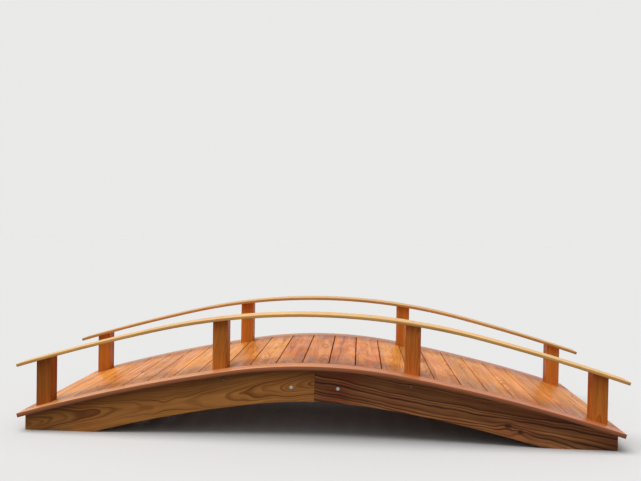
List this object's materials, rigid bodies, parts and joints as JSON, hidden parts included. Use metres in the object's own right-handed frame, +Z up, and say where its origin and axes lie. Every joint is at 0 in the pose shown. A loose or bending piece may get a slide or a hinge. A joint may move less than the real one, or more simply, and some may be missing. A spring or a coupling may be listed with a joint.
{
  "type": "arched garden bridge",
  "caption": "Low arched timber garden footbridge: cross-laid deck boards on bowed side beams, bent edge strips and bent handrails on square posts.",
  "frame": {"origin": "on the ground under the middle of the bridge", "axes": "+X along the span, +Y across it away from the front side beam, +Z up"},
  "size_m": [3.642, 1.25, 0.736],
  "materials": {
    "deck_boards": "orange-brown stained softwood with a satin sealer",
    "edge_strips": "stained softwood with a satin sealer",
    "handrails": "pale stained softwood with a satin sealer",
    "posts": "stained softwood with a satin sealer",
    "side_beams": "stained softwood with bold grain",
    "inner_timbers": "rougher stained softwood"
  },
  "bodies": {
    "root": {"deck_board_01": "deck_boards", "deck_board_02": "deck_boards", "deck_board_03": "deck_boards", "deck_board_04": "deck_boards", "deck_board_05": "deck_boards", "deck_board_06": "deck_boards", "deck_board_07": "deck_boards", "deck_board_08": "deck_boards", "deck_board_09": "deck_boards", "deck_board_10": "deck_boards", "deck_board_11": "deck_boards", "deck_board_12": "deck_boards", "deck_board_13": "deck_boards", "deck_board_14": "deck_boards", "deck_board_15": "deck_boards", "deck_board_16": "deck_boards", "deck_board_17": "deck_boards", "deck_board_18": "deck_boards", "deck_board_19": "deck_boards", "deck_board_20": "deck_boards", "deck_board_21": "deck_boards", "deck_board_22": "deck_boards", "deck_board_23": "deck_boards", "edge_strip_back": "edge_strips", "edge_strip_front": "edge_strips", "end_header_left": "inner_timbers", "end_header_right": "inner_timbers", "handrail_back": "handrails", "handrail_front": "handrails", "ledger_back": "inner_timbers", "ledger_front": "inner_timbers", "middle_joist_left": "inner_timbers", "middle_joist_right": "inner_timbers", "post_back_1": "posts", "post_back_2": "posts", "post_back_3": "posts", "post_back_4": "posts", "post_front_1": "posts", "post_front_2": "posts", "post_front_3": "posts", "post_front_4": "posts", "side_beam_back_left": "side_beams", "side_beam_back_right": "side_beams", "side_beam_front_left": "side_beams", "side_beam_front_right": "side_beams"}
  },
  "joints": []
}
